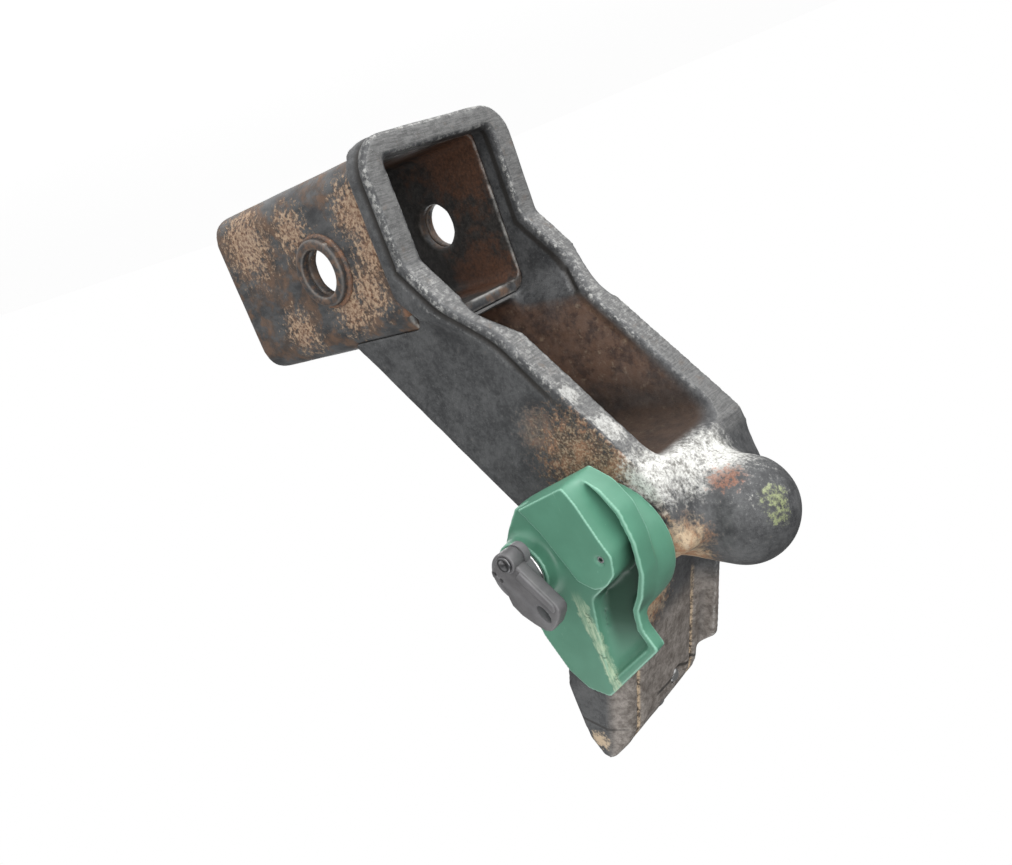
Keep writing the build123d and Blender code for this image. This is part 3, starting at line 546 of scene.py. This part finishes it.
tube = even_copy("square_tube", "receiver_tube", TUBE_VOXEL)
spots = places(tube.data)
relax(tube.data, np.where(spots[:, 0] < COLLAR_BACK + 3, 0.05, 0.5), TUBE_ROUNDS)
waver(tube.data, 14.0, 0.2)
shade_smooth(tube)


def tube_finish():
    f = Finish("rusty_tube")
    grain = f.noise(1.0, 6, 0.65)
    speckle = f.noise(2.4, 3, 0.7, shift=31.0)
    blotch = f.noise(0.2, 6, 0.68, shift=11.0)
    streak = f.noise(0.12, 5, 0.65, stretch=(0.6, 1, 1.4), shift=4.0)
    edge = f.sharp.between(0.515, 0.56)

    paint = f.colour(streak.between(0.35, 0.65), BLACK_PAINT, GREY_PAINT)
    brown = f.colour(blotch.between(0.4, 0.62), (0.06, 0.042, 0.032), (0.15, 0.085, 0.05))
    fine = f.noise(0.55, 7, 0.75, shift=19.0)
    worn = f.noise(0.07, 5, 0.7, shift=9.0).between(0.46, 0.58)
    look_now = f.colour(worn * 0.75, paint, brown)
    orange = (f.soft_patch((-27, -30, -2), 9, 2.6, fine) | f.soft_patch((-17, -30, 11), 8, 2.6, fine)
              | f.soft_patch((-5, -30, 15), 8, 2.8, fine) | f.soft_patch((-25, -30, -14), 10, 2.4, fine)
              | f.soft_patch((10, -30, -16), 8, 3.0, fine) | f.soft_patch((38, -30, -18), 13, 2.4, fine)
              | f.soft_patch((26, -30, 18), 8, 3.0, fine))
    orange_colour = f.colour((grain * 0.5 + fine * 0.5).between(0.40, 0.6), RUST, (0.55, 0.40, 0.27))
    look_now = f.colour(orange * 0.7, look_now, orange_colour)

    across = f.along((0, 1, 0))
    upright = f.along((0, 0, 1))
    hollow = ((1 - (across * across).between(25.7 ** 2, 27 ** 2))
              * (1 - (upright * upright).between(25.7 ** 2, 27 ** 2)))
    bore_colour = f.colour(fine.between(0.4, 0.65), (0.020, 0.018, 0.017), (0.050, 0.046, 0.042))
    mouth_rust = (f.soft_patch((-22, 26, -22), 20, 1.2, blotch)
                  | f.soft_patch((-16, 26, 24), 16, 1.2, blotch)
                  | f.soft_patch((-8, 4, -26), 22, 1.2, blotch))
    bore_colour = f.colour(mouth_rust * 0.7, bore_colour, f.colour(grain.between(0.3, 0.7), DEEP_RUST, RUST))
    look_now = f.colour(hollow, look_now, bore_colour)
    look_now = f.colour(edge * blotch.between(0.35, 0.6) * 0.6, look_now, CHIPPED)
    look_now = f.colour(speckle.between(0.67, 0.74) * 0.4, look_now, (0.35, 0.33, 0.30))
    rough = 0.5 + 0.3 * (orange | worn * 0.5) + (grain - 0.5) * 0.25
    height = grain * 0.5 + speckle * 0.2 + blotch * orange * 1.4
    return f.finish(look_now, rough, height, 0.2, IOR=1.45)


tube.data.materials.append(tube_finish())
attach(tube, "arm")
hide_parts("receiver_tube")


# ---- Pin rings and welds ----
# A turned steel ring stiffens the tube's wall round each pin hole. The rings and the collar are
# welded on, and the beads are brown with rust.
RING_VOXEL = 0.45 * MM
TUBE_HALF = 29.8         # mm
TUBE_CORNER = 9.0
BEAD_R = 2.1
BEAD_TOP = 21.5          # mm; how far up the tube's sides the collar's bead runs
RIPPLE_MM = 2.6


def bead(name, path, thick, sides=10, closed=False):
    """A weld bead along a path in mm, with a ripple for each dab of the rod."""
    path = [Vector(point) for point in path]
    weld = bmesh.new()
    rings = []
    run = 0.0
    for k, point in enumerate(path):
        ahead = path[(k + 1) % len(path)] if closed else path[min(k + 1, len(path) - 1)]
        behind = path[k - 1] if closed or k else path[0]
        way = (ahead - behind).normalized()
        if k:
            run += (point - path[k - 1]).length
        side = way.orthogonal().normalized() if not rings else (last - last.dot(way) * way).normalized()
        last = side
        over = way.cross(side)
        wide = thick * (0.86 + 0.14 * abs(math.sin(math.pi * run / RIPPLE_MM)))
        if not closed and k in (0, len(path) - 1):
            wide *= 0.45
        rings.append([weld.verts.new((point + wide * (math.cos(t) * side + math.sin(t) * over)) * MM)
                      for t in (2 * math.pi * n / sides for n in range(sides))])
    pairs = list(zip(rings, rings[1:])) + ([(rings[-1], rings[0])] if closed else [])
    for one, two in pairs:
        for n in range(sides):
            weld.faces.new((one[n], one[(n + 1) % sides], two[(n + 1) % sides], two[n]))
    if not closed:
        weld.faces.new(rings[0][::-1])
        weld.faces.new(rings[-1])
    bmesh.ops.recalc_face_normals(weld, faces=weld.faces)
    piece = as_piece(name, bpy.data.meshes.new(name))
    weld.to_mesh(piece.data)
    weld.free()
    shade_smooth(piece)
    return piece


def collar_path(half, corner, top, step):
    """Down one side of the tube, under it and up the other side, in mm."""
    points = [(-half, z) for z in np.arange(top, corner - half, -step)]
    turn = [math.radians(t) for t in range(180, 271, 10)]
    low = corner - half
    points += [(low + corner * math.cos(t), low + corner * math.sin(t)) for t in turn]
    points += [(y, -half) for y in np.arange(low + step, 0.1, step)]
    return points + [(-y, z) for y, z in reversed(points[:-1])]


def weld_finish():
    f = Finish("rusty_weld")
    grain = f.noise(1.2, 5, 0.7)
    blotch = f.noise(0.25, 6, 0.7, shift=17.0)
    colour = f.colour(blotch.between(0.35, 0.65), (0.055, 0.05, 0.048), (0.20, 0.10, 0.055))
    colour = f.colour(grain.between(0.55, 0.7) * 0.5, colour, SAND)
    return f.finish(colour, 0.62 + (grain - 0.5) * 0.3, grain, 0.2)


def ring_finish():
    f = Finish("worn_ring")
    grain = f.noise(1.4, 5, 0.65)
    blotch = f.noise(0.3, 6, 0.7, shift=7.0)
    colour = f.colour(blotch.between(0.4, 0.65), BLACK_PAINT, (0.14, 0.085, 0.055))
    colour = f.colour(f.sharp.between(0.51, 0.55) * 0.7, colour, (0.24, 0.22, 0.20))
    return f.finish(colour, 0.5 + (grain - 0.5) * 0.3, grain, 0.15)


weld_look = weld_finish()
ring_look = ring_finish()
collar_weld = bead("collar_weld", [(COLLAR_BACK + 0.5, y, z) for y, z in
                                   collar_path(TUBE_HALF + 0.3, TUBE_CORNER, BEAD_TOP, 0.65)], BEAD_R)
collar_weld.data.materials.append(weld_look)
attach(collar_weld, "arm")
for side, node, way in (("near", "pin_ring_near", -1), ("far", "pin_ring_far", 1)):
    ring = even_copy("ring_" + side, node, RING_VOXEL)
    relax(ring.data, np.full(len(ring.data.vertices), 0.5), 6)
    shade_smooth(ring)
    ring.data.materials.append(ring_look)
    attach(ring, "arm")
    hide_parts(node)
    turns = [2 * math.pi * n / 90 for n in range(90)]
    ring_weld = bead("ring_weld_" + side, [(11.7 * math.cos(t), way * (TUBE_HALF + 0.2), 11.7 * math.sin(t))
                                           for t in turns], 1.1, closed=True)
    ring_weld.data.materials.append(weld_look)
    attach(ring_weld, "arm")


# ---- Lever ----
# One green nylon moulding: a round cup over the spring, a raised grip, a finger scoop and a thin
# tail. It is satin with a fine grain, with a painted highlight along its sharp edges and painted shade in
# its hollow corners and down in its scoop, and it is scuffed on the tail's ridge.
LEVER_VOXEL = 0.45 * MM
LEVER_ROUNDS = 7
SPRING_ROOM_R = 18.2     # mm; the spring's room, the hub's and the lock's hole keep their shape
HUB_ROOM_R = 10.6
HUB_ROOM_Y = -41.2
LOCK_HOLE_AT = (-63.0, 0.0, 99.6)
LOCK_HOLE_R = 6.6
WALL_ROUNDS = 90         # passes along its side walls alone, which make their outline flow
SCOOP_ROUNDS = 24        # and where the scoop runs on into the tail
SCOOP_FLOOR_Y = -42.0    # mm; the scoop's floor, which rises to the tail's floor past a ledge
TAIL_FLOOR_Y = -44.7
SCOOP_LOW = 99.0
TAIL_HIGH = 122.0
SCOOP_SIDES = (-97.0, -79.0)
LEDGE_Z = 111.3
CUP_MOUTH_Y = -37.3      # mm; nearer the arm than this, the hollow under the lever is left as it is

lever = even_copy("green_lever", "lever", LEVER_VOXEL)
relax(lever.data, np.full(len(lever.data.vertices), 0.5), LEVER_ROUNDS)
spots = places(lever.data)
off_shaft = off_line(spots, SHAFT_AT, (0, 1, 0))
shown = np.where((off_shaft < SPRING_ROOM_R) & (spots[:, 1] > CUP_MOUTH_Y - 0.5), 0.0, 1.0)
shown = np.where(off_line(spots, LOCK_HOLE_AT, (0, 1, 0)) < LOCK_HOLE_R, 0.0, shown)
shown = np.where((off_shaft < HUB_ROOM_R) & (spots[:, 1] > HUB_ROOM_Y), 0.0, shown)
walls = np.clip(1 - np.abs(facing(lever.data)[:, 1]) * 1.3, 0, 1)
relax(lever.data, 0.5 * walls * shown, WALL_ROUNDS)
fill_corners(lever.data, shown, 7, 12)
spots = places(lever.data)
run_on = np.clip((spots[:, 2] - SCOOP_LOW) / (TAIL_HIGH - SCOOP_LOW), 0, 1)
run_on = SCOOP_FLOOR_Y + (TAIL_FLOOR_Y - SCOOP_FLOOR_Y) * run_on * run_on * (3 - 2 * run_on)
in_scoop = (spots[:, 1] > TAIL_FLOOR_Y - 0.5) & (spots[:, 1] < SCOOP_FLOOR_Y + 0.5)
in_scoop &= (spots[:, 2] > SCOOP_LOW) & (spots[:, 2] < TAIL_HIGH)
in_scoop &= (spots[:, 0] > SCOOP_SIDES[0]) & (spots[:, 0] < SCOOP_SIDES[1])
in_scoop &= (facing(lever.data)[:, 1] < -0.75) | (np.abs(spots[:, 2] - LEDGE_Z) < 1.6)
spots[in_scoop, 1] = run_on[in_scoop]
move_to(lever.data, spots)
blend = (near(spots, (-89, -44, LEDGE_Z), 10) > 0.3) & (spots[:, 1] < -41.0) & (spots[:, 1] > -46.5)
relax(lever.data, 0.5 * blend * shown, SCOOP_ROUNDS)
shade_smooth(lever)


RIDGE_FROM = (-75.5, -47.6, 108.0)   # mm; the scuffed ridge on the tail, and its way
RIDGE_WAY = Vector((-3.0, 0.0, 34.0)).normalized()


def lever_finish():
    f = Finish("green_nylon")
    grain = f.noise(3.2, 4, 0.6)
    cloud = f.noise(0.06, 4, 0.55)
    scratch = f.noise(1.1, 4, 0.7, stretch=(1.0, 1.0, 0.12), shift=8.0)
    blotch = f.noise(0.35, 6, 0.72, shift=13.0)
    edge = f.sharp.between(0.510, 0.545)
    hollow = 1 - f.sharp.between(0.42, 0.49)
    colour = f.colour(cloud.between(0.3, 0.7), (0.068, 0.192, 0.128), (0.086, 0.232, 0.158))
    # painted highlight: paler along the sharp edges
    colour = f.colour(edge * 0.6, colour, (0.26, 0.50, 0.38))
    # painted shade: darker in the hollow corners
    colour = f.colour(hollow * 0.8, colour, (0.010, 0.036, 0.024))
    # painted shade down in the scoop: on its floor past the ledge and on its walls that don't face out
    sunk = f.along((0, 1, 0)).between(-52.5, -44.0) * (1 - f.along((0, 1, 0)).between(-41.0, -40.0))
    beyond = f.along((0, 1, 0)).between(-47.0, -46.0) * (1 - f.along((0, 1, 0)).between(-41.0, -40.0))
    valley = (1 - f.along((1, 0, 0)).between(-84.5, -79.0)) * (1 - f.along((0, 0, 1)).between(116, 136))
    away = 1 - f.faces((0, -1, 0)).between(0.45, 0.9)
    inner = 1 - f.off_line(SHAFT_AT, (0, 1, 0)).between(19.6, 20.6)
    floor_of = f.faces((0, -1, 0)).between(0.2, 0.8)
    shaded = (beyond * floor_of | sunk * away * inner) * valley
    colour = f.colour(shaded * 0.9, colour, (0.014, 0.038, 0.024))
    off_ridge = f.off_line(RIDGE_FROM, RIDGE_WAY)
    scuff = (1 - (off_ridge + (blotch - 0.5) * 5).between(1.4, 2.6)) * f.along((0, 0, 1)).between(108, 116)
    colour = f.colour(scuff * (0.35 + 0.65 * scratch.between(0.4, 0.6)) * 0.8, colour, (0.45, 0.55, 0.38))
    colour = f.colour(scuff * blotch.between(0.55, 0.6) * 0.7, colour, (0.03, 0.08, 0.05))
    colour = f.colour(scratch.between(0.68, 0.74) * 0.3, colour, (0.30, 0.52, 0.40))
    rough = 0.40 + 0.25 * scuff + (grain - 0.5) * 0.12
    height = grain * 0.25 + scuff * blotch * 1.5
    return f.finish(colour, rough, height, 0.12, IOR=1.5)


lever.data.materials.append(lever_finish())
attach(lever, "lever")
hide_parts("lever")


# ---- Lock and its bright ring ----
# The key lock's steel barrel is pressed into the lever, with a turning core behind the cover and
# a turned, chromed ring round it. The steel works in the arm and the bronze bushes take their
# finish here too.
LOCK_AT = (LOCK_HOLE_AT[0], LOCK_HOLE_AT[2])   # mm, X and Z of the lock's axis
RING_FACE_Y = -54.0


def lathe(name, centre, profile, turns=72):
    """A turned piece about an axis along Y, from a closed profile of radius and Y, in mm."""
    turned = bmesh.new()
    rings = []
    for n in range(turns):
        t = 2 * math.pi * n / turns
        c, s = math.cos(t), math.sin(t)
        rings.append([turned.verts.new(Vector((centre[0] + r * c, y, centre[1] + r * s)) * MM)
                      for r, y in profile])
    count = len(profile)
    for one, two in zip(rings, rings[1:] + rings[:1]):
        for n in range(count):
            turned.faces.new((one[n], one[(n + 1) % count], two[(n + 1) % count], two[n]))
    bmesh.ops.remove_doubles(turned, verts=turned.verts, dist=1e-6)
    bmesh.ops.recalc_face_normals(turned, faces=turned.faces)
    piece = as_piece(name, bpy.data.meshes.new(name))
    turned.to_mesh(piece.data)
    turned.free()
    shade_smooth(piece)
    return piece


def metal_finish(name, colour, rough, scratches=0.25, dirt=0.3):
    f = Finish(name)
    line = f.noise(1.6, 4, 0.7, stretch=(3.0, 0.25, 0.25))
    blotch = f.noise(0.5, 5, 0.7, shift=6.0)
    stain = blotch.between(0.5, 0.72) * dirt
    stained = f.colour(stain, colour, (0.10, 0.075, 0.055))
    return f.finish(stained, rough + (line - 0.5) * scratches + stain * 0.4, line, 0.02, metallic=1.0)


def put_on(node, look):
    """A CAD node that is right as it stands only takes its finish."""
    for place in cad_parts[node].material_slots:
        place.material = look


bright_look = metal_finish("chrome", (0.58, 0.58, 0.58), 0.22, 0.08, 0.15)
steel_look = metal_finish("ground_steel", (0.52, 0.52, 0.53), 0.34)
bronze_look = metal_finish("oiled_bronze", (0.46, 0.31, 0.16), 0.38)

ring_profile = [(6.1, RING_FACE_Y + 1.5)]
ring_profile += [(7.35 + 1.2 * math.cos(t), RING_FACE_Y + 0.95 - 0.9 * math.sin(t))
                 for t in (math.pi * (1 - n / 12) for n in range(13))]
ring_profile += [(8.55, RING_FACE_Y + 1.5)]
bezel = lathe("lock_ring", LOCK_AT, ring_profile)
bezel.data.materials.append(bright_look)
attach(bezel, "lever")
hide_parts("lock_bezel")
for node in ("lock_core", "locking_ball_front", "locking_ball_rear"):
    put_on(node, bright_look)
for node in ("lock_barrel", "lock_tongue", "tongue_screw", "lever_hub", "hub_pin", "grip_pin",
             "torsion_spring", "crank_shaft", "locking_plunger", "bore_cap", "shaft_carrier",
             "carrier_circlip"):
    put_on(node, steel_look)
for node in ("plunger_guide", "shaft_bush_outer", "shaft_bush_inner"):
    put_on(node, bronze_look)


def rubber_finish():
    f = Finish("seal_rubber")
    grain = f.noise(1.5, 4, 0.6)
    dust = f.noise(0.3, 5, 0.7, shift=3.0).between(0.5, 0.7)
    colour = f.colour(dust * 0.4, (0.018, 0.018, 0.019), (0.10, 0.09, 0.08))
    return f.finish(colour, 0.7 + (grain - 0.5) * 0.2, grain, 0.05)


seal_look = rubber_finish()
for node in ("shaft_seal", "lever_seal"):
    put_on(node, seal_look)


# ---- Dust cover, its plate and its pivot ----
# A dark grey nylon cover swings on a headed steel pin over the key slot. It has a raised band along
# one side, an oval thumb hole, and a small knuckle with two dimples beside the pin. The plate under
# it is the same.
PIVOT_AT = (-67.2, 91.8)  # mm, X and Z
COVER_TURN = math.radians(129)
COVER_FRONT_Y = -61.7
COVER_BACK_Y = -56.7
BOSS_R = 3.3             # mm; the boss round the pin, the pin's hole, the dimples and the key's room
PIN_HOLE_R = 1.75
DIMPLE_R = 0.75
KEY_ROOM_R = 6.6
COVER_EDGE = [(-2.8, -1.0), (-2.6, -8.0), (-1.4, -9.2), (1.6, -9.3), (4.6, -9.8), (6.4, -11.2), (8.4, -12.5),
              (12.5, -12.6), (17, -11.4), (20.6, -10), (22, -8.2), (22.2, -5), (21.2, -0.8), (20.2, 1.0),
              (18.6, 1.7), (3.4, 1.7)]


def on_cover(u, v, y):
    """A place on the cover: u along it from the pivot, v across it, both in mm."""
    c, s = math.cos(COVER_TURN), math.sin(COVER_TURN)
    return Vector((PIVOT_AT[0] + u * c - v * s, y, PIVOT_AT[1] + u * s + v * c)) * MM


def slab(name, outline, front, back, round_mm, steps=3):
    """A flat moulding with rounded edges, from its outline on the cover."""
    flat = bmesh.new()
    face = flat.faces.new([flat.verts.new(on_cover(u, v, front)) for u, v in outline])
    grown = bmesh.ops.extrude_face_region(flat, geom=[face])
    bmesh.ops.translate(flat, verts=[v for v in grown["geom"] if isinstance(v, bmesh.types.BMVert)],
                        vec=(0, (back - front) * MM, 0))
    bmesh.ops.recalc_face_normals(flat, faces=flat.faces)
    piece = as_piece(name, bpy.data.meshes.new(name))
    flat.to_mesh(piece.data)
    flat.free()
    rounded = piece.modifiers.new("rounded", "BEVEL")
    rounded.width = round_mm * MM
    rounded.segments = steps
    rounded.limit_method = "ANGLE"
    rounded.angle_limit = math.radians(25)
    return piece


def settle(piece):
    """Applies a piece's modifiers."""
    made = bpy.data.meshes.new_from_object(piece.evaluated_get(bpy.context.evaluated_depsgraph_get()))
    piece.modifiers.clear()
    piece.data = made


def combine(piece, other, operation):
    """Joins another solid to a piece, or cuts it out, and uses it up."""
    cut = piece.modifiers.new("combine", "BOOLEAN")
    cut.operation = operation
    cut.solver = "EXACT"
    cut.object = other
    settle(piece)
    bpy.data.objects.remove(other)


def ellipse(u, v, long, wide, count=28):
    lean = math.radians(-12)
    return [(u + long * math.cos(t) * math.cos(lean) - wide * math.sin(t) * math.sin(lean),
             v + long * math.cos(t) * math.sin(lean) + wide * math.sin(t) * math.cos(lean))
            for t in (2 * math.pi * n / count for n in range(count))]


def round_at(u, v, radius, count=32):
    turns = [2 * math.pi * n / count for n in range(count)]
    return [(u + radius * math.cos(t), v + radius * math.sin(t)) for t in turns]


cover = slab("grey_cover", COVER_EDGE, COVER_FRONT_Y + 0.55, COVER_BACK_Y, 0.8)
settle(cover)
BAND_EDGE = [(4.6, -1.4), (4.6, 1.5), (18.0, 1.5), (19.4, 0.4), (19.2, -1.0)]
band = slab("band", BAND_EDGE, COVER_FRONT_Y, COVER_BACK_Y, 0.5)
settle(band)
combine(cover, band, "UNION")
boss = slab("boss", round_at(0, 0, BOSS_R), COVER_FRONT_Y, COVER_BACK_Y, 0.5)
settle(boss)
combine(cover, boss, "UNION")
hole = slab("hole", ellipse(17.3, -4.6, 3.0, 1.7), COVER_FRONT_Y - 1, COVER_BACK_Y + 1, 0.0)
hole.modifiers.clear()
combine(cover, hole, "DIFFERENCE")
pin_hole = slab("pin_hole", round_at(0, 0, PIN_HOLE_R), COVER_FRONT_Y - 1, COVER_BACK_Y + 1, 0.0)
pin_hole.modifiers.clear()
combine(cover, pin_hole, "DIFFERENCE")
for u in (-1.2, 1.6):
    dimple = slab("dimple", round_at(u, -7.2, DIMPLE_R, 16), COVER_FRONT_Y - 1, COVER_BACK_Y - 1.5, 0.0)
    dimple.modifiers.clear()
    combine(cover, dimple, "DIFFERENCE")
room_under = slab("room_under", round_at(3.42, -8.17 + 0.6, KEY_ROOM_R), COVER_BACK_Y - 2.2,
                  COVER_BACK_Y + 1, 0.0)
room_under.modifiers.clear()
combine(cover, room_under, "DIFFERENCE")
for polygon in cover.data.polygons:
    polygon.use_smooth = True
cover.data.set_sharp_from_angle(angle=math.radians(32))


def cover_finish():
    f = Finish("grey_nylon")
    grain = f.noise(3.0, 5, 0.65)
    cloud = f.noise(0.2, 5, 0.6, shift=2.0)
    edge = f.sharp.between(0.52, 0.60)
    colour = f.colour(cloud.between(0.3, 0.7), (0.082, 0.080, 0.083), (0.12, 0.117, 0.12))
    # painted highlight: paler along the sharp edges
    colour = f.colour(edge * 0.4, colour, (0.25, 0.25, 0.26))
    colour = f.colour(grain.between(0.62, 0.7) * 0.3, colour, (0.22, 0.20, 0.18))
    return f.finish(colour, 0.45 + (grain - 0.5) * 0.2, grain, 0.08, IOR=1.5)


cover_look = cover_finish()
cover.data.materials.append(cover_look)
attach(cover, "dust_cover")
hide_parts("dust_cover")
put_on("cover_bracket", cover_look)

pin_profile = [(0.0, COVER_BACK_Y + 2.4), (1.55, COVER_BACK_Y + 2.4), (1.55, COVER_FRONT_Y),
               (2.5, COVER_FRONT_Y), (2.5, COVER_FRONT_Y - 0.45), (2.2, COVER_FRONT_Y - 0.75),
               (1.5, COVER_FRONT_Y - 0.75),
               (1.3, COVER_FRONT_Y - 0.45), (0.9, COVER_FRONT_Y - 0.45), (0.6, COVER_FRONT_Y - 0.2),
               (0.0, COVER_FRONT_Y - 0.2)]
pivot = lathe("pivot_pin", PIVOT_AT, pin_profile, 40)
pivot.data.materials.append(metal_finish("dark_pin", (0.14, 0.14, 0.145), 0.35))
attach(pivot, "lever")
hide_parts("cover_pivot")
